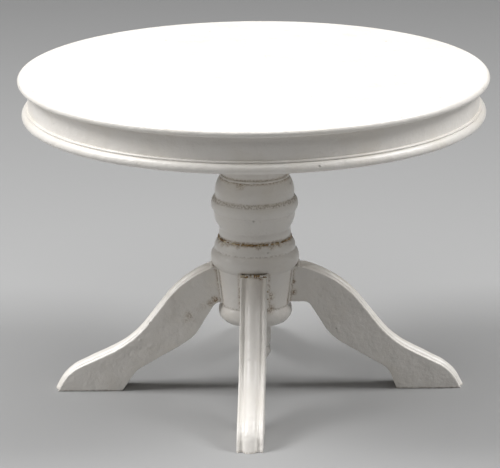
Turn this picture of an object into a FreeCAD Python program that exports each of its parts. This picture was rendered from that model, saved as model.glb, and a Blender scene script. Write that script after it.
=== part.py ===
import FreeCAD, Part
import math
import os
import re

import Sketcher

# A dolls house dining table at one-twelfth scale: a round top with an apron ring, carried by a
# turned pedestal on four scrolled legs. Every joint is glued, so nothing on it moves.
#
# Frame: millimetres, +Z up, the origin on the floor under the pedestal's axis. The front leg
# points along -Y, a little askew; the right leg stands further out than the others.

SIZES = {
    # overall
    "table_height": (71.5, "floor to top face"),
    "top_diameter": (102.0, "across the nosing"),
    "fit_clearance": (0.05, "gap left for glue round a spigot, a register or a leg root"),
    "socket_relief": (0.3, "how much deeper a socket is than its spigot or dowel"),
    # table top
    "nosing_thickness": (1.55, "height of the rounded edge"),
    "nosing_swell": (0.62, "how far the rounded edge stands out"),
    "fillet_setback": (1.45, "from the nosing in to the narrow fillet under it"),
    "fillet_height": (0.5, "height of that fillet"),
    "register_depth": (0.8, "step under the top that drops into the apron ring"),
    # apron ring
    "apron_height": (7.4, "underside of the fillet to the lowest edge"),
    "apron_width": (4.6, "frieze to bore"),
    "frieze_setback": (2.1, "from the nosing in to the frieze"),
    "frieze_hollow": (0.06, "how far the frieze is dished"),
    "frieze_height": (4.7, "height of the frieze"),
    "astragal_height": (0.5, "height of the small round above the bead"),
    "astragal_projection": (0.55, "how far it stands out from the frieze"),
    "quirk_depth": (0.14, "groove between the small round and the bead"),
    "bead_swell": (0.92, "how far the bead stands out from the groove"),
    # pedestal cap
    "flange_radius": (15.0, "plate under the top"),
    "flange_thickness": (2.0, "edge height of the plate"),
    "cap_cove": (4.2, "width of the hollow between neck and plate"),
    "cap_cove_sweep": (1.3, "how deeply that hollow is dished"),
    "cap_neck_radius": (7.25, "neck above the baluster"),
    # baluster
    "spigot_radius": (2.5, "turned peg on each end of the baluster"),
    "spigot_length": (5.0, "length of each peg"),
    "bulb_height": (4.7, "upper bulb"),
    "bulb_base_radius": (8.6, "bulb where it meets the ring"),
    "bulb_top_radius": (7.45, "bulb where it meets the cap"),
    "bulb_swell": (0.6, "roundness of the bulb"),
    "ring_height": (3.15, "large ring"),
    "ring_radius": (8.95, "large ring, at its edges"),
    "ring_swell": (0.65, "roundness of the large ring"),
    "cup_height": (3.85, "cup under the ring"),
    "cup_top_radius": (9.0, "cup under the ring"),
    "cup_base_radius": (7.6, "cup at the neck ring"),
    "cup_swell": (0.37, "roundness of the cup"),
    "neck_ring_height": (2.15, "ring at the foot of the baluster"),
    "neck_ring_radius": (7.72, "the same ring, at its edges"),
    "neck_ring_swell": (0.2, "roundness of the same ring"),
    # leg hub
    "hub_floor_gap": (15.7, "floor to the underside of the hub"),
    "torus_height": (4.0, "round base moulding"),
    "torus_radius": (7.45, "base moulding, at its top edge"),
    "torus_swell": (0.7, "roundness of the base moulding"),
    "torus_chamfer": (0.6, "bevel round the underside"),
    "barrel_height": (8.5, "tapered drum that holds the legs"),
    "barrel_base_radius": (7.67, "drum above the base moulding"),
    "barrel_top_radius": (8.65, "drum under the bead"),
    "hub_bead_height": (4.1, "large bead above the drum"),
    "hub_bead_radius": (8.9, "large bead, at its edges"),
    "hub_bead_swell": (0.9, "roundness of the large bead"),
    "shoulder_height": (2.45, "quarter round on top"),
    "shoulder_base_radius": (8.95, "quarter round at the bead"),
    "shoulder_top_radius": (7.85, "quarter round under the baluster"),
    "shoulder_swell": (0.35, "roundness of the quarter round"),
    # legs
    "leg_thickness": (5.7, "board the legs are sawn from"),
    "leg_root_radius": (7.0, "axis to the flat end of a leg"),
    "leg_root_lift": (0.65, "base moulding up to the leg's lower edge"),
    "right_leg_turn": (0.0, "direction of the right leg, in degrees from +X"),
    "back_leg_turn": (90.0, "direction of the back leg"),
    "left_leg_turn": (180.0, "direction of the left leg"),
    "front_leg_turn": (268.0, "direction of the front leg"),
    "right_leg_out": (2.95, "how much further out the right leg's scrolls are"),
    "back_leg_out": (0.5, "the same for the back leg"),
    "left_leg_out": (0.0, "the same for the left leg"),
    "front_leg_out": (0.5, "the same for the front leg"),
    "right_leg_reach": (45.4, "axis to the right toe"),
    "back_leg_reach": (43.8, "axis to the back toe"),
    "left_leg_reach": (43.9, "axis to the left toe"),
    "front_leg_reach": (43.6, "axis to the front toe"),
    "leg_sole": (14.4, "length that stands on the floor"),
    "root_rise": (1.4, "how far the line of the back would pass above the drum"),
    "knee_run": (7.45, "drum out to the knee"),
    "knee_drop": (2.75, "bead down to the knee"),
    "knee_round": (22.0, "radius over the knee"),
    "ankle_run": (18.4, "drum out to the ankle"),
    "ankle_height": (11.2, "height of the ankle's hollow"),
    "ankle_round": (23.0, "radius of that hollow"),
    "toe_setback": (2.2, "toe back to the top of the toe"),
    "toe_height": (4.35, "top of the toe"),
    "toe_round": (9.0, "radius over the toe"),
    "haunch_run": (0.05, "drum out to the leg's lower corner"),
    "haunch_round": (2.0, "radius of that corner"),
    "calf_run": (4.95, "drum out to the calf"),
    "calf_height": (12.2, "height of the calf's hollow"),
    "calf_round": (12.0, "radius of that hollow"),
    "arch_run": (17.7, "drum out to the arch"),
    "arch_height": (4.7, "height of the arch"),
    "arch_round": (5.0, "radius of the arch"),
    "saw_stock": (1.2, "wood left on a leg's back for the moulding"),
    "edge_bead_width": (0.5, "plain strip along each side of the back"),
    "edge_bead_round": (0.35, "radius of its outer corner"),
    "flute_depth": (0.42, "groove beside the reed"),
    "reed_width": (2.5, "raised rib along the middle of the back"),
    "reed_rise": (0.55, "height of that rib"),
    # dowels
    "dowel_diameter": (1.5, "pegs that hold each leg"),
    "dowel_length": (5.0, "half in the leg, half in the hub"),
    "dowel_margin": (2.0, "from the leg root's ends to a peg"),
    # drop finial
    "finial_spigot_radius": (1.4, "peg in the hub"),
    "finial_spigot_length": (4.0, "length of that peg"),
    "finial_vase_height": (5.85, "upper element"),
    "finial_vase_radius": (3.05, "upper element, at its ends"),
    "finial_vase_swell": (0.45, "roundness of the upper element"),
    "finial_notch_radius": (2.75, "waist between the elements"),
    "finial_ball_radius": (3.45, "lower element at its widest"),
    "finial_ball_rise": (1.5, "waist down to the widest place"),
    "finial_tip_drop": (2.95, "widest place down to the tip"),
    "finial_tip_radius": (0.6, "flat at the very tip"),
    "finial_swell": (0.45, "roundness towards the tip"),
    "finial_brow_swell": (0.15, "roundness above the widest place"),
}

SIDES = ("right", "back", "left", "front")
FULL_TURN = 360

# Heights and radii that follow from the sizes.
TOP_RADIUS = "top_diameter / 2"
APRON_TOP = "(table_height - nosing_thickness - fillet_height)"
APRON_BASE = f"({APRON_TOP} - apron_height)"
FRIEZE_RADIUS = f"({TOP_RADIUS} - frieze_setback)"
FRIEZE_BASE = f"({APRON_TOP} - frieze_height)"
APRON_BORE = f"({FRIEZE_RADIUS} - apron_width)"
TOP_UNDERSIDE = f"({APRON_TOP} - register_depth)"
BARREL_BASE = "(hub_floor_gap + torus_height)"
BARREL_TOP = f"({BARREL_BASE} + barrel_height)"
HUB_TOP = f"({BARREL_TOP} + hub_bead_height + shoulder_height)"
CUP_BASE = f"({HUB_TOP} + neck_ring_height)"
RING_BASE = f"({CUP_BASE} + cup_height)"
BULB_BASE = f"({RING_BASE} + ring_height)"
BALUSTER_TOP = f"({BULB_BASE} + bulb_height)"
LEG_ROOT_BASE = f"({BARREL_BASE} + leg_root_lift)"
LEG_ROOT_TOP = f"({BARREL_TOP} - fit_clearance)"
LOWER_DOWEL = f"({LEG_ROOT_BASE} + dowel_margin)"
UPPER_DOWEL = f"({LEG_ROOT_TOP} - dowel_margin)"

doc = FreeCAD.newDocument("dining_table")
sheet = doc.addObject("Spreadsheet::Sheet", "sizes")
for row, (alias, (size, meaning)) in enumerate(SIZES.items(), start=1):
    sheet.set(f"A{row}", alias.replace("_", " "))
    sheet.set(f"B{row}", str(size))
    sheet.setAlias(f"B{row}", alias)
    sheet.set(f"C{row}", meaning)
doc.recompute()


def on_sheet(expression):
    """Point each size that an expression names at its cell."""
    return re.sub(r"[a-z_]+", lambda word: f"sizes.{word.group()}" if word.group() in SIZES
                  else word.group(), expression)


def value_of(expression):
    """Work an expression out as a plain number of millimetres."""
    return float(sheet.evalExpression(on_sheet(expression)))


def new_body(label, turn="0"):
    """Start a sub-part, turned about the pedestal's axis."""
    body = doc.addObject("PartDesign::Body", label)
    body.Label = label
    body.Placement = FreeCAD.Placement(
        FreeCAD.Vector(), FreeCAD.Rotation(FreeCAD.Vector(0, 0, 1), value_of(turn)))
    if turn != "0":
        body.setExpression("Placement.Rotation.Angle", on_sheet(turn))
    return body


def origin_feature(body, role):
    """Find one of a body's own planes or axes."""
    return next(item for item in body.Origin.OriginFeatures if item.Role == role)


def new_sketch(body, name, plane, across="0", up="0", out="0"):
    """Lay a sketch on one of the body's planes, moved by the three expressions."""
    sketch = body.newObject("Sketcher::SketchObject", name)
    sketch.AttachmentSupport = [(origin_feature(body, plane), "")]
    sketch.MapMode = "FlatFace"
    for axis, expression in (("x", across), ("y", up), ("z", out)):
        if expression != "0":
            sketch.setExpression(f"AttachmentOffset.Base.{axis}", on_sheet(expression))
    return sketch


def new_root_sketch(body, name, turn="0"):
    """Lay a sketch on the plane of a leg's root, turned about the pedestal's axis."""
    sketch = new_sketch(body, name, "YZ_Plane", across=f"(leg_root_radius * sin({turn}))",
                        out=f"(leg_root_radius * cos({turn}))")
    sketch.AttachmentOffset.Rotation = FreeCAD.Rotation(
        FreeCAD.Vector(0, 1, 0), value_of(turn))
    if turn != "0":
        sketch.setExpression("AttachmentOffset.Rotation.Angle", on_sheet(turn))
    return sketch


def bind(sketch, constraint, expression):
    """Add a dimension to a sketch and tie it to the sheet."""
    index = sketch.addConstraint(constraint)
    sketch.setExpression(f"Constraints[{index}]", on_sheet(expression))


def pin(sketch, element, place, across, up):
    """Dimension a point from the sketch's origin, along both axes."""
    for kind, axis_line, expression in (("DistanceX", -2, across), ("DistanceY", -1, up)):
        value = value_of(expression)
        if abs(value) < 1e-9:
            sketch.addConstraint(Sketcher.Constraint("PointOnObject", element, place, axis_line))
        elif value > 0:
            bind(sketch, Sketcher.Constraint(kind, -1, 1, element, place, value), expression)
        else:
            bind(sketch, Sketcher.Constraint(kind, element, place, -1, 1, -value),
                 f"-({expression})")


def corner(across, up, swell=None, rounding=None):
    """A corner of an outline. Swell bows the run to the next corner: out to the right of the
    way round, or to the left if it has a minus sign. Rounding is a radius at the corner."""
    return {"across": across, "up": up, "swell": swell, "rounding": rounding}


def swell_radius(first, last, swell):
    """The radius of the bow between two corners, as an expression."""
    run = f"(({last['across']}) - ({first['across']}))"
    rise = f"(({last['up']}) - ({first['up']}))"
    bow = swell.lstrip("-")
    return f"({run}^2 + {rise}^2) / (8 * {bow}) + {bow} / 2"


def arc_between(start, end, radius, counter_clockwise):
    """An arc of less than half a turn, and whether its own direction is the wanted one."""
    if not counter_clockwise:
        start, end = end, start
    chord = end - start
    middle = (start + end) * 0.5
    height = math.sqrt(max(radius**2 - (chord.Length / 2) ** 2, 0))
    left = FreeCAD.Vector(-chord.y, chord.x, 0).normalize()
    centre = middle + left * height
    circle = Part.Circle(centre, FreeCAD.Vector(0, 0, 1), radius)
    begin = math.atan2(start.y - centre.y, start.x - centre.x)
    finish = math.atan2(end.y - centre.y, end.x - centre.x)
    return Part.ArcOfCircle(circle, begin, finish)


def draw(sketch, corners, closed=True):
    """Draw an outline through its corners, with bows and rounded corners, fully dimensioned."""
    points = [FreeCAD.Vector(value_of(c["across"]), value_of(c["up"]), 0) for c in corners]
    count = len(corners)
    runs = count if closed else count - 1
    ends = []
    for index in range(runs):
        following = (index + 1) % count
        start, end = points[index], points[following]
        swell = corners[index]["swell"]
        if swell is None:
            element = sketch.addGeometry(Part.LineSegment(start, end))
            ends.append((element, 1, 2))
            continue
        bow_radius = swell_radius(corners[index], corners[following], swell)
        turns_left = not swell.startswith("-")
        arc = arc_between(start, end, value_of(bow_radius), turns_left)
        element = sketch.addGeometry(arc)
        ends.append((element, 1, 2) if turns_left else (element, 2, 1))
        bind(sketch, Sketcher.Constraint("Radius", element, arc.Radius), bow_radius)
    for index in range(count):
        arriving = ends[index - 1] if closed or index > 0 else None
        leaving = ends[index] if index < runs else None
        here = corners[index]
        if here["rounding"] is not None:
            round_corner(sketch, arriving[0], leaving[0], points, index, here)
            continue
        if arriving and leaving:
            sketch.addConstraint(Sketcher.Constraint(
                "Coincident", arriving[0], arriving[2], leaving[0], leaving[1]))
        element, place = (leaving[0], leaving[1]) if leaving else (arriving[0], arriving[2])
        pin(sketch, element, place, here["across"], here["up"])
    return sketch


def round_corner(sketch, arriving, leaving, points, index, here):
    """Round the corner between two straight runs, and dimension the corner itself."""
    point = points[index]
    back = (points[index - 1] - point).normalize()
    ahead = (points[(index + 1) % len(points)] - point).normalize()
    radius = value_of(here["rounding"])
    half_angle = back.getAngle(ahead) / 2
    reach = radius / math.tan(half_angle)
    start = point + back * reach
    end = point + ahead * reach
    turns_left = back.cross(ahead).z < 0
    sketch.moveGeometry(arriving, 2, start, 0)
    sketch.moveGeometry(leaving, 1, end, 0)
    arc = sketch.addGeometry(arc_between(start, end, radius, turns_left))
    first, last = (1, 2) if turns_left else (2, 1)
    sketch.addConstraint(Sketcher.Constraint("Tangent", arriving, 2, arc, first))
    sketch.addConstraint(Sketcher.Constraint("Tangent", leaving, 1, arc, last))
    bind(sketch, Sketcher.Constraint("Radius", arc, radius), here["rounding"])
    mark = sketch.addGeometry(Part.Point(point), True)
    sketch.addConstraint(Sketcher.Constraint("PointOnObject", mark, 1, arriving))
    sketch.addConstraint(Sketcher.Constraint("PointOnObject", mark, 1, leaving))
    pin(sketch, mark, 1, here["across"], here["up"])


def turn_profile(body, name, corners):
    """Turn a profile, drawn as radius and height, about the pedestal's axis."""
    sketch = draw(new_sketch(body, f"{name}_profile", "XZ_Plane"), corners)
    doc.recompute()
    turned = body.newObject("PartDesign::Revolution", name)
    turned.Profile = sketch
    turned.ReferenceAxis = (sketch, ["V_Axis"])
    turned.Angle = FULL_TURN
    doc.recompute()
    return turned


def cut_checked(body, feature, uncut):
    """Recompute after a cut, and stop if it took nothing away from the feature before it."""
    body.Tip = feature
    doc.recompute()
    if feature.Shape.Volume >= uncut.Shape.Volume:
        raise RuntimeError(f"{feature.Label} in {body.Label} cut nothing")
    return feature


def make_table_top():
    """Round board: rounded nosing, narrow fillet, and a step that sits in the apron ring."""
    body = new_body("table_top")
    edge = f"({TOP_RADIUS} - nosing_swell)"
    fillet_radius = f"({TOP_RADIUS} - fillet_setback)"
    register_radius = f"({APRON_BORE} - fit_clearance)"
    nosing_base = "(table_height - nosing_thickness)"
    turn_profile(body, "top_board", [
        corner("0", TOP_UNDERSIDE),
        corner(register_radius, TOP_UNDERSIDE),
        corner(register_radius, APRON_TOP),
        corner(fillet_radius, APRON_TOP),
        corner(fillet_radius, nosing_base),
        corner(edge, nosing_base, swell="nosing_swell"),
        corner(edge, "table_height"),
        corner("0", "table_height"),
    ])
    return body


def make_apron_ring():
    """Ring under the top: dished frieze, small round, groove and a bold bead."""
    body = new_body("apron_ring")
    astragal_radius = f"({FRIEZE_RADIUS} + astragal_projection * 0.6)"
    astragal_base = f"({FRIEZE_BASE} - astragal_height)"
    quirk_radius = f"({FRIEZE_RADIUS} + astragal_projection - quirk_depth)"
    turn_profile(body, "ring", [
        corner(APRON_BORE, APRON_BASE),
        corner(quirk_radius, APRON_BASE, swell="bead_swell"),
        corner(quirk_radius, astragal_base),
        corner(astragal_radius, astragal_base, swell="astragal_projection * 0.4"),
        corner(astragal_radius, FRIEZE_BASE),
        corner(FRIEZE_RADIUS, FRIEZE_BASE, swell="-frieze_hollow"),
        corner(FRIEZE_RADIUS, APRON_TOP),
        corner(APRON_BORE, APRON_TOP),
    ])
    return body


def make_pedestal_cap():
    """Neck above the baluster, flared by a hollow into a plate that is glued under the top."""
    body = new_body("pedestal_cap")
    socket_radius = "(spigot_radius + fit_clearance)"
    socket_top = f"({BALUSTER_TOP} + spigot_length + socket_relief)"
    cove_radius = "(cap_neck_radius + cap_cove)"
    flange_base = f"({TOP_UNDERSIDE} - flange_thickness)"
    turn_profile(body, "cap", [
        corner(socket_radius, BALUSTER_TOP),
        corner("cap_neck_radius", BALUSTER_TOP),
        corner("cap_neck_radius", f"({flange_base} - cap_cove)", swell="-cap_cove_sweep"),
        corner(cove_radius, flange_base),
        corner("flange_radius", flange_base),
        corner("flange_radius", TOP_UNDERSIDE),
        corner("0", TOP_UNDERSIDE),
        corner("0", socket_top),
        corner(socket_radius, socket_top),
    ])
    return body


def make_baluster():
    """Turned middle of the pedestal, with a spigot on each end."""
    body = new_body("baluster")
    turn_profile(body, "turning", [
        corner("0", f"({HUB_TOP} - spigot_length)"),
        corner("spigot_radius", f"({HUB_TOP} - spigot_length)"),
        corner("spigot_radius", HUB_TOP),
        corner("neck_ring_radius", HUB_TOP, swell="neck_ring_swell"),
        corner("neck_ring_radius", CUP_BASE),
        corner("cup_base_radius", CUP_BASE, swell="cup_swell"),
        corner("cup_top_radius", RING_BASE),
        corner("ring_radius", RING_BASE, swell="ring_swell"),
        corner("ring_radius", BULB_BASE),
        corner("bulb_base_radius", BULB_BASE, swell="bulb_swell"),
        corner("bulb_top_radius", BALUSTER_TOP),
        corner("spigot_radius", BALUSTER_TOP),
        corner("spigot_radius", f"({BALUSTER_TOP} + spigot_length)"),
        corner("0", f"({BALUSTER_TOP} + spigot_length)"),
    ])
    return body


def add_dowel_holes(body, name, uncut, outward, turn="0"):
    """Bore the two peg holes of a leg root, from the root's face."""
    sketch = new_root_sketch(body, f"{name}_circles", turn)
    for height in (LOWER_DOWEL, UPPER_DOWEL):
        centre = FreeCAD.Vector(0, value_of(height), 0)
        radius = value_of("dowel_diameter / 2")
        circle = sketch.addGeometry(Part.Circle(centre, FreeCAD.Vector(0, 0, 1), radius))
        bind(sketch, Sketcher.Constraint("Diameter", circle, 2 * radius), "dowel_diameter")
        pin(sketch, circle, 3, "0", height)
    doc.recompute()
    holes = body.newObject("PartDesign::Pocket", name)
    holes.Profile = sketch
    holes.setExpression("Length", on_sheet("dowel_length / 2 + socket_relief"))
    holes.Reversed = outward
    return cut_checked(body, holes, uncut)


def make_leg_hub():
    """Turned foot of the pedestal: housings for the legs, and sockets at both ends."""
    body = new_body("leg_hub")
    socket_radius = "(spigot_radius + fit_clearance)"
    socket_base = f"({HUB_TOP} - spigot_length - socket_relief)"
    finial_socket = "(finial_spigot_radius + fit_clearance)"
    finial_socket_top = "(hub_floor_gap + finial_spigot_length + socket_relief)"
    turning = turn_profile(body, "hub_turning", [
        corner("0", finial_socket_top),
        corner(finial_socket, finial_socket_top),
        corner(finial_socket, "hub_floor_gap"),
        corner("(torus_radius - torus_chamfer)", "hub_floor_gap"),
        corner("torus_radius", "(hub_floor_gap + torus_chamfer)", swell="torus_swell"),
        corner("torus_radius", BARREL_BASE),
        corner("barrel_base_radius", BARREL_BASE),
        corner("barrel_top_radius", BARREL_TOP),
        corner("hub_bead_radius", BARREL_TOP, swell="hub_bead_swell"),
        corner("hub_bead_radius", f"({BARREL_TOP} + hub_bead_height)"),
        corner("shoulder_base_radius", f"({BARREL_TOP} + hub_bead_height)",
               swell="shoulder_swell"),
        corner("shoulder_top_radius", HUB_TOP),
        corner(socket_radius, HUB_TOP),
        corner(socket_radius, socket_base),
        corner("0", socket_base),
    ])
    half_width = "(leg_thickness / 2 + fit_clearance)"
    housing_base = f"({LEG_ROOT_BASE} - fit_clearance)"
    uncut = turning
    for side in SIDES:
        turn = f"{side}_leg_turn"
        sketch = draw(new_root_sketch(body, f"{side}_housing_outline", turn), [
            corner(f"-{half_width}", housing_base),
            corner(half_width, housing_base),
            corner(half_width, BARREL_TOP),
            corner(f"-{half_width}", BARREL_TOP),
        ])
        doc.recompute()
        housing = body.newObject("PartDesign::Pocket", f"{side}_housing")
        housing.Profile = sketch
        housing.setExpression("Length", on_sheet("barrel_top_radius"))
        housing.Reversed = True
        cut_checked(body, housing, uncut)
        uncut = add_dowel_holes(body, f"{side}_hub_dowel_holes", housing, False, turn)
    return body


def make_leg(side):
    """One scrolled leg, drawn along +X and turned into place: a sawn blank, then the moulding
    run along its back, then the root pared to fit under the hub's bead and bored."""
    body = new_body(f"leg_{side}", f"{side}_leg_turn")
    drum = f"barrel_top_radius + {side}_leg_out"
    reach = f"{side}_leg_reach"
    knee = (f"({drum} + knee_run)", f"({BARREL_TOP} - knee_drop)")
    ankle = (f"({drum} + ankle_run)", "ankle_height")
    toe = (f"({reach} - toe_setback)", "toe_height")
    blank_outline = new_sketch(body, "blank_outline", "XZ_Plane")
    draw(blank_outline, [
        corner("leg_root_radius", LEG_ROOT_BASE),
        corner(f"({drum} + haunch_run)", LEG_ROOT_BASE, rounding="haunch_round"),
        corner(f"({drum} + calf_run)", "calf_height", rounding="calf_round"),
        corner(f"({drum} + arch_run)", "arch_height", rounding="arch_round"),
        corner(f"({reach} - leg_sole)", "0"),
        corner(f"({reach} + saw_stock)", "0"),
        corner(f"({toe[0]} + saw_stock)", f"({toe[1]} + saw_stock)"),
        corner(f"({ankle[0]} + saw_stock / 2)", f"({ankle[1]} + saw_stock)"),
        corner(f"({knee[0]} + saw_stock / 2)", f"({knee[1]} + saw_stock)"),
        corner("leg_root_radius", f"({BARREL_TOP} + root_rise + saw_stock)"),
    ])
    doc.recompute()
    blank = body.newObject("PartDesign::Pad", "blank")
    blank.Profile = blank_outline
    blank.setExpression("Length", on_sheet("leg_thickness"))
    blank.SideType = "Symmetric"
    doc.recompute()

    # The cutter follows the top line of the leg from just inside the root to below the floor.
    cutter_start = "(leg_root_radius - saw_stock)"
    fall = f"((knee_drop + root_rise) / ({knee[0]} - leg_root_radius))"
    start_height = f"({BARREL_TOP} + root_rise + {fall} * saw_stock)"
    route = new_sketch(body, "moulding_route", "XZ_Plane")
    draw(route, [
        corner(cutter_start, start_height),
        corner(*knee, rounding="knee_round"),
        corner(*ankle, rounding="ankle_round"),
        corner(*toe, rounding="toe_round"),
        corner(f"({reach} + toe_setback)", "-toe_height"),
    ], closed=False)
    half = "(leg_thickness / 2)"
    reed = "(reed_width / 2)"
    bead = f"({half} - edge_bead_width)"
    nick = f"({half} - edge_bead_round)"
    aside = f"({half} + saw_stock)"
    above = "(3 * saw_stock)"
    quarter_swell = f"-edge_bead_round * {1 - math.sqrt(0.5):.4f}"
    section = new_sketch(body, "moulding_section", "YZ_Plane",
                         up=start_height, out=cutter_start)
    draw(section, [
        corner(f"-{aside}", "-edge_bead_round"),
        corner(f"-{half}", "-edge_bead_round", swell=quarter_swell),
        corner(f"-{nick}", "0"),
        corner(f"-{bead}", "0", swell="flute_depth"),
        corner(f"-{reed}", "0", swell="-reed_rise"),
        corner(reed, "0", swell="flute_depth"),
        corner(bead, "0"),
        corner(nick, "0", swell=quarter_swell),
        corner(half, "-edge_bead_round"),
        corner(aside, "-edge_bead_round"),
        corner(aside, above),
        corner(f"-{aside}", above),
    ])
    doc.recompute()
    moulding = body.newObject("PartDesign::SubtractivePipe", "moulding")
    moulding.Profile = section
    moulding.Spine = route
    cut_checked(body, moulding, blank)

    paring = new_sketch(body, "paring_outline", "XZ_Plane")
    paring_top = f"({LEG_ROOT_TOP} + 3 * saw_stock)"
    draw(paring, [
        corner(cutter_start, LEG_ROOT_TOP),
        corner(knee[0], LEG_ROOT_TOP),
        corner(knee[0], paring_top),
        corner(cutter_start, paring_top),
    ])
    doc.recompute()
    pared = body.newObject("PartDesign::Pocket", "pared_root")
    pared.Profile = paring
    pared.setExpression("Length", on_sheet("leg_thickness + saw_stock"))
    pared.SideType = "Symmetric"
    cut_checked(body, pared, moulding)
    add_dowel_holes(body, "leg_dowel_holes", pared, True)
    return body


def make_dowel(side, name, height):
    """One peg, drawn along +X across the joint between hub and leg, and turned into place."""
    body = new_body(f"dowel_{side}_{name}", f"{side}_leg_turn")
    sketch = new_root_sketch(body, "peg_circle")
    centre = FreeCAD.Vector(0, value_of(height), 0)
    radius = value_of("dowel_diameter / 2")
    circle = sketch.addGeometry(Part.Circle(centre, FreeCAD.Vector(0, 0, 1), radius))
    bind(sketch, Sketcher.Constraint("Diameter", circle, 2 * radius), "dowel_diameter")
    pin(sketch, circle, 3, "0", height)
    doc.recompute()
    peg = body.newObject("PartDesign::Pad", "peg")
    peg.Profile = sketch
    peg.setExpression("Length", on_sheet("dowel_length"))
    peg.SideType = "Symmetric"
    doc.recompute()
    return body


def make_drop_finial():
    """Turned drop under the hub: a small vase and a pointed ball, with a spigot on top."""
    body = new_body("drop_finial")
    notch = "(hub_floor_gap - finial_vase_height)"
    widest = f"({notch} - finial_ball_rise)"
    tip = f"({widest} - finial_tip_drop)"
    spigot_top = "(hub_floor_gap + finial_spigot_length)"
    turn_profile(body, "finial", [
        corner("0", tip),
        corner("finial_tip_radius", tip, swell="finial_swell"),
        corner("finial_ball_radius", widest, swell="finial_brow_swell"),
        corner("finial_notch_radius", notch),
        corner("finial_vase_radius", notch, swell="finial_vase_swell"),
        corner("finial_vase_radius", "hub_floor_gap"),
        corner("finial_spigot_radius", "hub_floor_gap"),
        corner("finial_spigot_radius", spigot_top),
        corner("0", spigot_top),
    ])
    return body


parts = [
    make_table_top(),
    make_apron_ring(),
    make_pedestal_cap(),
    make_baluster(),
    make_leg_hub(),
    make_drop_finial(),
]
for side in SIDES:
    parts.append(make_leg(side))
    parts.append(make_dowel(side, "lower", LOWER_DOWEL))
    parts.append(make_dowel(side, "upper", UPPER_DOWEL))

doc.recompute()
for item in doc.Objects:
    if "Invalid" in item.State or "Error" in item.State:
        raise RuntimeError(f"{item.Label} failed: {item.State}")
for part in parts:
    if part.Shape.isNull() or not part.Shape.isValid() or len(part.Shape.Solids) != 1:
        raise RuntimeError(f"{part.Label} is not one sound solid")

os.makedirs("parts", exist_ok=True)
for part in parts:
    part.Shape.exportStep(os.path.join("parts", f"{part.Label}.step"))
    print(f"{part.Label}: {part.Shape.Volume:.1f} cubic mm")
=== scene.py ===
import math
import random

import bmesh
import bpy
from mathutils import Matrix, Vector
from mathutils.bvhtree import BVHTree


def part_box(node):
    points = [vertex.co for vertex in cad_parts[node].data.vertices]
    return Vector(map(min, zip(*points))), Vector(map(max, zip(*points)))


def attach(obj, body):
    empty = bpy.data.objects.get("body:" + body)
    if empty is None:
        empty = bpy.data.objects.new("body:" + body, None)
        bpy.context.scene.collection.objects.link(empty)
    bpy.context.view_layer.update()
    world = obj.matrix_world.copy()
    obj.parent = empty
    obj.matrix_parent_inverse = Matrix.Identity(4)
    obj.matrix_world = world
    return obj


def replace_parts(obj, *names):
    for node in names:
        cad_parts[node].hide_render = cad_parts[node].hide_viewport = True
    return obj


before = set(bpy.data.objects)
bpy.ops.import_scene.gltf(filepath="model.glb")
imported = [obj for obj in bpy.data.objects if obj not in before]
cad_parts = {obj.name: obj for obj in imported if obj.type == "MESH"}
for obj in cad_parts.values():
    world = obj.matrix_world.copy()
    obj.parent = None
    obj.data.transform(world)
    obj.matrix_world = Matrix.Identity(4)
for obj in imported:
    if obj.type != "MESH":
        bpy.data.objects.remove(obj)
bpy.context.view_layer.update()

# A dolls house dining table, painted by hand in off-white enamel over turned and sawn wood. The
# painted pieces are the CAD solids with their arrises softened by the paint, and beads of paint
# and of old brown glue lie in the joints. The front leg points to -Y and the right one to +X.
# Lengths are metres; a size given in millimetres is multiplied by MM.

MM = 0.001
rng = random.Random(7)

# The pedestal's joints and creases, from the top down.
CAP_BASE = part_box("pedestal_cap")[0][2]
BULB_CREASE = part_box("baluster")[1][2] - 9.7 * MM       # under the bulb, on the large ring
RING_CREASE = BULB_CREASE - 3.15 * MM                   # under the large ring
HUB_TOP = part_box("leg_hub")[1][2]
SHOULDER_CREASE = HUB_TOP - 2.45 * MM                   # under the quarter round
BARREL_TOP = 28.2 * MM                                  # where the drum meets the large bead
BARREL_BASE = 19.7 * MM                                 # where the drum meets the torus
HUB_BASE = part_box("leg_hub")[0][2]

NECK_RING_RADIUS = 7.8 * MM
CAP_RADIUS = 7.3 * MM
FINIAL_NECK_RADIUS = 3.05 * MM
BARREL_TOP_RADIUS = 8.65 * MM
BARREL_BASE_RADIUS = 7.67 * MM
BEAD_FOOT_RADIUS = 9.5 * MM             # where the large bead comes down on the legs

LEG_DIRECTIONS = {"right": 0, "back": 90, "left": 180, "front": 268}    # degrees from +X
LEG_HALF = 2.85 * MM                    # half a leg's thickness
LEG_ROOT_BASE = 20.35 * MM              # lower edge of a leg, at the drum

JOINT_REACH = 1.2 * MM                  # how far from a joint the paint is discoloured


# ---------------------------------------------------------------- finishes

NOISE = "ShaderNodeTexNoise"
MATH = "ShaderNodeMath"
RANGE = "ShaderNodeMapRange"
MIX = "ShaderNodeMix"
MULTIPLY = {"operation": "MULTIPLY"}
ADD = {"operation": "ADD"}
SUBTRACT = {"operation": "SUBTRACT"}
EASED = {"interpolation_type": "SMOOTHSTEP"}
COLOURS = {"data_type": "RGBA"}
SHARE, UNDER, OVER, BLEND = 0, 6, 7, 2      # a colour mix's three inputs and its output


def linear(hex_colour):
    """Turn an sRGB hex colour to the linear values that shaders take."""
    channels = [int(hex_colour[i:i + 2], 16) / 255 for i in (1, 3, 5)]
    return [c / 12.92 if c <= 0.04045 else ((c + 0.055) / 1.055) ** 2.4 for c in channels] + [1.0]


def per_mm(size):
    """A texture's scale for a pattern whose features are this many millimetres apart."""
    return 1 / (size * MM)


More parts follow.
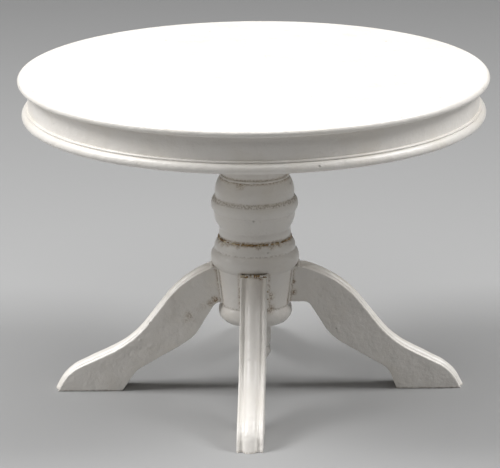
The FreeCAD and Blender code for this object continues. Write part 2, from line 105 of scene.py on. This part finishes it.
def add_node(tree, kind, inputs, settings=None, output=0):
    """Add one shader node and give back one of its outputs. Each input takes another node's
    output, a hex colour or a plain value."""
    node = tree.nodes.new(kind)
    for name, value in (settings or {}).items():
        setattr(node, name, value)
    for key, value in inputs.items():
        if isinstance(value, bpy.types.NodeSocket):
            tree.links.new(value, node.inputs[key])
        elif isinstance(value, str):
            node.inputs[key].default_value = linear(value)
        else:
            node.inputs[key].default_value = value
    return node.outputs[output]


def new_material(name, **sockets):
    """Start a material, and set its shader's plain sockets."""
    material = bpy.data.materials.new(name)
    material.use_nodes = True
    shader = material.node_tree.nodes["Principled BSDF"]
    for socket, value in sockets.items():
        shader.inputs[socket.replace("_", " ")].default_value = value
    return material, material.node_tree, shader


def brushed_enamel():
    """Oil-based enamel brushed over sanded wood in several coats. To the eye it is warm
    off-white with a satin sheen and a pebbly skin, pitted here and there, yellowed in patches,
    browned where glue came out of a joint, and grey in its creases with dust and painted shade."""
    material, tree, shader = new_material(
        "brushed_enamel_over_wood", IOR=1.5, Coat_Weight=0.25, Coat_Roughness=0.25)
    place = add_node(tree, "ShaderNodeTexCoord", {}, output="Object")
    patches = add_node(tree, NOISE, {"Vector": place, "Scale": per_mm(9), "Detail": 3})
    lumps = add_node(tree, NOISE, {"Vector": place, "Scale": per_mm(3.2), "Detail": 2})
    skin = add_node(tree, NOISE, {"Vector": place, "Scale": per_mm(0.9), "Detail": 4,
                                  "Roughness": 0.6})
    fleck = add_node(tree, NOISE, {"Vector": place, "Scale": per_mm(0.36), "Detail": 5})

    # Burst bubbles: the middles of scattered cells, in under half of them.
    middle = add_node(tree, "ShaderNodeTexVoronoi", {"Vector": place, "Scale": per_mm(4.5)},
                      output="Distance")
    chance = add_node(tree, "ShaderNodeSeparateColor", {"Color": middle.node.outputs["Color"]})
    near_middle = add_node(tree, RANGE, {"Value": middle, "From Min": 0.075, "From Max": 0.03},
                           EASED)
    chosen = add_node(tree, RANGE, {"Value": chance, "From Min": 0.55, "From Max": 0.6}, EASED)
    pit = add_node(tree, MATH, {0: near_middle, 1: chosen}, MULTIPLY)

    # Each piece's mesh says how close a point is to a glued joint, and how dark its crease is
    # with dust and painted shade.
    joint = add_node(tree, "ShaderNodeAttribute", {}, {"attribute_name": "joint"}, "Fac")
    crease = add_node(tree, "ShaderNodeAttribute", {}, {"attribute_name": "crease"}, "Fac")
    speckle = add_node(tree, RANGE, {"Value": fleck, "From Min": 0.42, "From Max": 0.6}, EASED)
    blotch = add_node(tree, RANGE, {"Value": lumps, "From Min": 0.38, "From Max": 0.55}, EASED)
    speckled = add_node(tree, MATH, {0: speckle, 1: 0.75}, MULTIPLY)
    blotched = add_node(tree, MATH, {0: blotch, 1: 0.3}, MULTIPLY)
    broken = add_node(tree, MATH, {0: speckled, 1: blotched}, ADD)
    glued = add_node(tree, RANGE, {"Value": joint, "From Min": 0.15, "From Max": 1.0}, EASED)
    stain = add_node(tree, MATH, {0: glued, 1: broken}, MULTIPLY)
    # Grey in the creases: partly dust, partly painted shade where a crease lies in shadow.
    creased = add_node(tree, RANGE, {"Value": crease, "From Min": 0.1, "From Max": 0.8}, EASED)
    dust_and_shade = add_node(tree, MATH, {0: creased, 1: speckle}, MULTIPLY)
    aged = add_node(tree, RANGE, {"Value": patches, "From Min": 0.45, "From Max": 0.75,
                                  "To Max": 0.3}, EASED)
    tinted = add_node(tree, RANGE, {"Value": joint, "From Min": 0.2, "From Max": 0.95,
                                    "To Max": 0.3}, EASED)

    colour = add_node(tree, MIX, {SHARE: aged, UNDER: "#ebe7e1", OVER: "#e0d8ca"}, COLOURS, BLEND)
    colour = add_node(tree, MIX, {SHARE: tinted, UNDER: colour, OVER: "#d8cbb0"}, COLOURS, BLEND)
    # The crease grey #8f8069 is dust and painted shade together; the brown is glue; the pits are
    # burst bubbles.
    for cover, strength, tone in ((dust_and_shade, 0.6, "#8f8069"), (stain, 0.9, "#7a5827"),
                                  (pit, 0.35, "#8d8577")):
        share = add_node(tree, MATH, {0: cover, 1: strength}, MULTIPLY)
        colour = add_node(tree, MIX, {SHARE: share, UNDER: colour, OVER: tone}, COLOURS, BLEND)
    tree.links.new(colour, shader.inputs["Base Color"])

    gloss = add_node(tree, RANGE, {"Value": skin, "To Min": 0.26, "To Max": 0.46})
    tree.links.new(gloss, shader.inputs["Roughness"])

    pebbles = add_node(tree, MATH, {0: skin, 1: 0.6}, MULTIPLY)
    depth = add_node(tree, MATH, {0: pit, 1: 0.8}, MULTIPLY)
    pitted = add_node(tree, MATH, {0: lumps, 1: depth}, SUBTRACT)
    height = add_node(tree, MATH, {0: pebbles, 1: pitted}, ADD)
    relief = add_node(tree, "ShaderNodeBump", {"Height": height, "Strength": 0.8,
                                               "Distance": 0.3 * MM})
    tree.links.new(relief, shader.inputs["Normal"])
    return material


def turned_beech():
    """Beech dowel, turned and left bare: pale straw with fine darker grain along it, dull and
    dry to the eye."""
    material, tree, shader = new_material("bare_turned_beech", IOR=1.45)
    place = add_node(tree, "ShaderNodeTexCoord", {}, output="Object")
    along = add_node(tree, "ShaderNodeMapping", {"Vector": place, "Scale": (1, 1, 0.12)})
    grain = add_node(tree, NOISE, {"Vector": along, "Scale": per_mm(0.5), "Detail": 5})
    pale = add_node(tree, RANGE, {"Value": grain, "From Min": 0.35, "From Max": 0.65})
    colour = add_node(tree, MIX, {SHARE: pale, UNDER: "#b08d5c", OVER: "#d3b684"}, COLOURS, BLEND)
    tree.links.new(colour, shader.inputs["Base Color"])
    dullness = add_node(tree, RANGE, {"Value": grain, "To Min": 0.6, "To Max": 0.8})
    tree.links.new(dullness, shader.inputs["Roughness"])
    relief = add_node(tree, "ShaderNodeBump", {"Height": grain, "Strength": 0.4,
                                               "Distance": 0.03 * MM})
    tree.links.new(relief, shader.inputs["Normal"])
    return material


def aged_hide_glue():
    """Hide glue that came out of the joints and darkened: brown where it is thick and cream
    where it is thin, glassy in places and crusted where it dried in crumbs."""
    material, tree, shader = new_material("aged_hide_glue", IOR=1.52)
    place = add_node(tree, "ShaderNodeTexCoord", {}, output="Object")
    thinness = add_node(tree, NOISE, {"Vector": place, "Scale": per_mm(1.1), "Detail": 4})
    crumbs = add_node(tree, NOISE, {"Vector": place, "Scale": per_mm(0.3), "Detail": 3})
    thinner = add_node(tree, RANGE, {"Value": thinness, "From Min": 0.35, "From Max": 0.5})
    thinnest = add_node(tree, RANGE, {"Value": thinness, "From Min": 0.5, "From Max": 0.64})
    colour = add_node(tree, MIX, {SHARE: thinner, UNDER: "#6a4d27", OVER: "#9a7c50"}, COLOURS,
                      BLEND)
    colour = add_node(tree, MIX, {SHARE: thinnest, UNDER: colour, OVER: "#cfc4aa"}, COLOURS,
                      BLEND)
    tree.links.new(colour, shader.inputs["Base Color"])
    crust = add_node(tree, RANGE, {"Value": crumbs, "To Min": 0.3, "To Max": 0.75})
    tree.links.new(crust, shader.inputs["Roughness"])
    relief = add_node(tree, "ShaderNodeBump", {"Height": crumbs, "Strength": 0.8,
                                               "Distance": 0.06 * MM})
    tree.links.new(relief, shader.inputs["Normal"])
    return material


def studio_paper():
    """Matt seamless paper under the table: plain, pale and even."""
    return new_material("matt_studio_paper", Base_Color=linear("#989898"), Roughness=0.85)[0]


FINISHES = {"painted_wood": brushed_enamel(), "bare_wood": turned_beech(),
            "old_glue": aged_hide_glue()}


# ---------------------------------------------------------------- painted pieces

def uneven_coats():
    """Cloudy unevenness a few millimetres across, for the thickness of the paint."""
    texture = bpy.data.textures.new("uneven_coats", "CLOUDS")
    texture.noise_scale = 2.6 * MM
    texture.noise_depth = 2
    return texture


UNEVEN = uneven_coats()


def place_piece(label, mesh, slot):
    """Make a finished mesh a piece of the table, in the finish of its slot."""
    mesh.materials.clear()
    mesh.materials.append(FINISHES[slot])
    piece = bpy.data.objects.new(label, mesh)
    bpy.context.scene.collection.objects.link(piece)
    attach(piece, "root")
    return piece


def settled_mesh(soft):
    """The final mesh of a curve, or of a piece with modifiers, which is then removed."""
    bpy.context.scene.collection.objects.link(soft)
    view = bpy.context.evaluated_depsgraph_get()
    mesh = bpy.data.meshes.new_from_object(soft.evaluated_get(view))
    bpy.data.objects.remove(soft)
    return mesh


def softened_copy(node, cell, rounds):
    """A CAD node's solid on a fine even net, its arrises rounded by the paint, and its faces a
    little uneven."""
    shape = bmesh.new()
    shape.from_mesh(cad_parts[node].data)
    bmesh.ops.remove_doubles(shape, verts=shape.verts, dist=0.002 * MM)
    mesh = bpy.data.meshes.new(node)
    shape.to_mesh(mesh)
    shape.free()
    soft = bpy.data.objects.new(node, mesh)
    net = soft.modifiers.new("even_net", "REMESH")
    net.mode = "VOXEL"
    net.voxel_size = cell
    net.use_smooth_shade = True
    rounding = soft.modifiers.new("rounded_arrises", "SMOOTH")
    rounding.factor = 0.5
    rounding.iterations = rounds
    coats = soft.modifiers.new("uneven_coats", "DISPLACE")
    coats.texture = UNEVEN
    coats.texture_coords = "LOCAL"
    coats.strength = 0.15 * MM
    coats.mid_level = 0.85          # nearly all inwards, so the paint stays in the CAD's size
    return settled_mesh(soft)


def surface_of(nodes):
    """One search tree for the surfaces of several CAD nodes."""
    shape = bmesh.new()
    for node in nodes:
        shape.from_mesh(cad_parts[node].data)
    tree = BVHTree.FromBMesh(shape)
    shape.free()
    return tree


def fade(distance, reach):
    """Fall from 1 on the spot to nothing some way beyond the reach."""
    return math.exp(-(distance / reach) ** 2)


def mark_glue_dust_and_shade(mesh, neighbours, smears, creases):
    """Write on each vertex how close it is to the pieces glued to this one or to a smear of
    glue, and how near it is in height to a crease greyed with dust and painted shade."""
    glued = surface_of(neighbours)
    marks = {"joint": [], "crease": []}
    for vert in mesh.vertices:
        gap = glued.find_nearest(vert.co, JOINT_REACH)[3]
        joint = 0.0 if gap is None else 1 - gap / JOINT_REACH
        for place, reach, strength in smears:
            joint = max(joint, strength * fade((vert.co - place).length, reach))
        crease = 0.0
        for height, reach, strength in creases:
            crease = max(crease, strength * fade(vert.co.z - height, reach))
        marks["joint"].append(joint)
        marks["crease"].append(crease)
    for name, values in marks.items():
        mesh.attributes.new(name, "FLOAT", "POINT").data.foreach_set("value", values)


def paint_over(node, label, cell, rounds, neighbours, smears=(), creases=()):
    """Stand the painted form of a CAD node in its place."""
    mesh = softened_copy(node, cell, rounds)
    mark_glue_dust_and_shade(mesh, neighbours, smears, creases)
    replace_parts(place_piece(label, mesh, "painted_wood"), node)


def smear(x, y, z, reach, strength):
    """A smear of glue: its place and size in millimetres, and how strong it is."""
    return Vector((x, y, z)) * MM, reach * MM, strength


# Glue wiped along the wood when the legs went in.
LEG_SMEARS = {
    "left": [smear(-8.9, -2.85, 21.0, 1.0, 1.0), smear(-9.9, -2.85, 20.2, 1.1, 0.7),
             smear(-11.3, -2.85, 19.4, 1.3, 0.45), smear(-12.6, -2.85, 18.6, 1.2, 0.4),
             smear(-14.6, -2.85, 17.4, 1.4, 0.65), smear(-15.2, -2.85, 16.2, 1.2, 0.5),
             smear(-13.4, -2.85, 16.0, 1.0, 0.35)],
    "right": [smear(8.3, -2.85, 22.6, 0.9, 0.9), smear(8.3, -2.85, 25.0, 0.7, 0.9)],
    "front": [smear(0.6, -9.8, 28.1, 1.3, 0.95), smear(2.6, -8.2, 23.5, 1.2, 0.9)],
    "back": [smear(0.0, 9.8, 28.1, 1.2, 0.9)],
}
HUB_SMEARS = [smear(3.3, -7.6, 23.0, 1.3, 0.9), smear(3.4, -7.2, 20.0, 1.3, 0.85)]
BULB_SMEARS = [smear(-3.0, -6.9, 47.9, 1.3, 0.8)]

# More of it came out unevenly round the two joints of the turned shaft.
SMEARS_ROUND = 22
for step in range(SMEARS_ROUND):
    turn = math.radians(360 / SMEARS_ROUND * step + rng.uniform(-6, 6))
    HUB_SMEARS.append(smear(8.2 * math.cos(turn), 8.2 * math.sin(turn), 34.5,
                            rng.uniform(0.6, 1.1), rng.uniform(0.45, 1.0)))
    BULB_SMEARS.append(smear(7.6 * math.cos(turn), 7.6 * math.sin(turn), 48.2,
                             rng.uniform(0.5, 0.9), rng.uniform(0.1, 0.6)))

# Each crease greyed with dust and painted shade: its height, its width and how dark it is.
# The foot of each leg gets a painted shadow where it stands on the floor.
PAINTED_FLOOR_SHADOW = [(0.0, 0.5 * MM, 0.7)]
HUB_CREASES = [(SHOULDER_CREASE, 0.3 * MM, 0.5), (BARREL_BASE, 0.35 * MM, 0.7)]
BALUSTER_CREASES = [(BULB_CREASE - 0.2 * MM, 0.45 * MM, 1.0), (RING_CREASE, 0.3 * MM, 0.3)]

LEG_NODES = [f"leg_{side}" for side in LEG_DIRECTIONS]
for side in LEG_DIRECTIONS:
    paint_over(f"leg_{side}", f"painted_leg_{side}", 0.13 * MM, 1, ["leg_hub"],
               LEG_SMEARS[side], PAINTED_FLOOR_SHADOW)
paint_over("leg_hub", "painted_hub", 0.17 * MM, 2, ["baluster", "drop_finial"] + LEG_NODES,
           HUB_SMEARS, HUB_CREASES)
paint_over("baluster", "painted_baluster", 0.17 * MM, 2, ["leg_hub", "pedestal_cap"],
           BULB_SMEARS, BALUSTER_CREASES)
paint_over("drop_finial", "painted_finial", 0.12 * MM, 2, ["leg_hub"])
paint_over("pedestal_cap", "painted_cap", 0.17 * MM, 1, ["baluster"])

# The top, the apron ring and the dowels are the CAD's own.
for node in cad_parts.values():
    for index, material in enumerate(node.data.materials):
        bare = material is not None and "bare_wood" in material.name
        node.data.materials[index] = FINISHES["bare_wood" if bare else "painted_wood"]


# ---------------------------------------------------------------- paint and glue in the joints

def run_bead(label, slot, thickness, points, closed=False):
    """Lay an uneven bead of paint or glue along a joint; glue is the more broken up."""
    thinnest = 0.7 if slot == "painted_wood" else 0.5
    line = bpy.data.curves.new(label, "CURVE")
    line.dimensions = "3D"
    line.bevel_depth = thickness
    line.bevel_resolution = 3
    line.use_fill_caps = True
    stroke = line.splines.new("NURBS")
    stroke.points.add(len(points) - 1)
    stroke.order_u = 3
    stroke.resolution_u = 3
    stroke.use_endpoint_u = not closed
    stroke.use_cyclic_u = closed
    for knot, point in zip(stroke.points, points):
        knot.co = (*point, 1)
        knot.radius = rng.uniform(thinnest, 1.2)
    mesh = settled_mesh(bpy.data.objects.new(label, line))
    mesh.shade_smooth()
    place_piece(label, mesh, slot)


def around(radius, height, count):
    """Points round the pedestal."""
    return [Vector((radius * math.cos(turn), radius * math.sin(turn), height))
            for turn in (2 * math.pi * step / count for step in range(count))]


def beside_leg(side, face, count):
    """Points up the joint between the drum and one face of a leg, and out under the bead."""
    spin = Matrix.Rotation(math.radians(LEG_DIRECTIONS[side]), 3, "Z")
    points = []
    for step in range(count):
        height = LEG_ROOT_BASE + (BARREL_TOP - LEG_ROOT_BASE) * step / (count - 1)
        share = (height - BARREL_BASE) / (BARREL_TOP - BARREL_BASE)
        radius = BARREL_BASE_RADIUS + (BARREL_TOP_RADIUS - BARREL_BASE_RADIUS) * share
        out = math.sqrt(radius ** 2 - LEG_HALF ** 2)
        points.append(spin @ Vector((out, face * LEG_HALF, height)))
    points.append(spin @ Vector((BEAD_FOOT_RADIUS, face * LEG_HALF, BARREL_TOP + 0.2 * MM)))
    return points


def over_leg(side, count):
    """Points across a leg, where the large bead comes down on it."""
    spin = Matrix.Rotation(math.radians(LEG_DIRECTIONS[side]), 3, "Z")
    return [spin @ Vector((BEAD_FOOT_RADIUS, LEG_HALF * (2 * step / (count - 1) - 1),
                           BARREL_TOP + rng.uniform(-0.1, 0.15) * MM))
            for step in range(count)]


run_bead("paint_under_neck_ring", "painted_wood", 0.24 * MM,
         around(NECK_RING_RADIUS, HUB_TOP, 90), closed=True)
run_bead("glue_under_neck_ring", "old_glue", 0.24 * MM,
         around(NECK_RING_RADIUS + 0.1 * MM, HUB_TOP + 0.02 * MM, 150), closed=True)
run_bead("paint_over_bulb", "painted_wood", 0.3 * MM,
         around(CAP_RADIUS, CAP_BASE + 0.05 * MM, 90), closed=True)
run_bead("paint_under_hub", "painted_wood", 0.2 * MM,
         around(FINIAL_NECK_RADIUS, HUB_BASE, 50), closed=True)
for side in LEG_DIRECTIONS:
    for face, edge in ((-1, "near"), (1, "far")):
        run_bead(f"paint_beside_{side}_leg_{edge}", "painted_wood", 0.3 * MM,
                 beside_leg(side, face, 26))
    run_bead(f"paint_over_{side}_leg", "painted_wood", 0.32 * MM, over_leg(side, 16))
run_bead("glue_beside_front_leg", "old_glue", 0.24 * MM, beside_leg("front", 1, 40))
run_bead("glue_over_front_leg", "old_glue", 0.36 * MM, over_leg("front", 24))


# ---------------------------------------------------------------- floor, camera and lights

scene = bpy.context.scene

floor_shape = bmesh.new()
bmesh.ops.create_grid(floor_shape, x_segments=1, y_segments=1, size=4.0)
floor_mesh = bpy.data.meshes.new("floor")
floor_shape.to_mesh(floor_mesh)
floor_shape.free()
floor_mesh.materials.append(studio_paper())
floor = bpy.data.objects.new("floor", floor_mesh)
scene.collection.objects.link(floor)

EYE = Vector((-1.06, -694.74, 238.0)) * MM
LOOKING_DOWN = math.radians(16.28)
LEVELLING = math.radians(-0.5)          # the camera leans a little about its own view line
lens = bpy.data.cameras.new("camera")
lens.sensor_width = 36
lens.lens = 237.9
lens.clip_start = 0.01
camera = bpy.data.objects.new("camera", lens)
scene.collection.objects.link(camera)
camera.matrix_world = (Matrix.Translation(EYE)
                       @ Matrix.Rotation(math.radians(90) - LOOKING_DOWN, 4, "X")
                       @ Matrix.Rotation(LEVELLING, 4, "Z"))
scene.camera = camera
scene.view_settings.view_transform = "Standard"


def softbox(name, place, aim, size, power):
    """A square soft light that faces a point; its power is in watts."""
    light = bpy.data.lights.new(name, "AREA")
    light.shape = "SQUARE"
    light.size = size
    light.energy = power
    lamp = bpy.data.objects.new(name, light)
    scene.collection.objects.link(lamp)
    lamp.location = place
    lamp.rotation_euler = (Vector(aim) - Vector(place)).to_track_quat("-Z", "Y").to_euler()


# Two strong lights high at the sides model the mouldings. The front one stands high enough for
# the top to shade the pedestal from it, and the low ones only lift the shadows.
softbox("overhead", (0, 0.05, 0.6), (0, 0, 0.05), 0.5, 1.3)
softbox("front_high", (0, -0.33, 0.52), (0, -0.02, 0.03), 0.25, 0.6)
softbox("left_high", (-0.42, 0, 0.5), (0, 0, 0.04), 0.25, 3.6)
softbox("left_low", (-0.58, -0.1, 0.32), (0, 0, 0.04), 0.25, 0.8)
softbox("right_high", (0.42, 0, 0.5), (0, 0, 0.04), 0.25, 2.9)
softbox("right_low", (0.6, -0.1, 0.3), (0, 0, 0.04), 0.25, 0.35)

studio = bpy.data.worlds.new("studio")
scene.world = studio
studio.use_nodes = True
air = studio.node_tree.nodes["Background"]
air.inputs["Color"].default_value = linear("#d6d6d6")
air.inputs["Strength"].default_value = 0.02
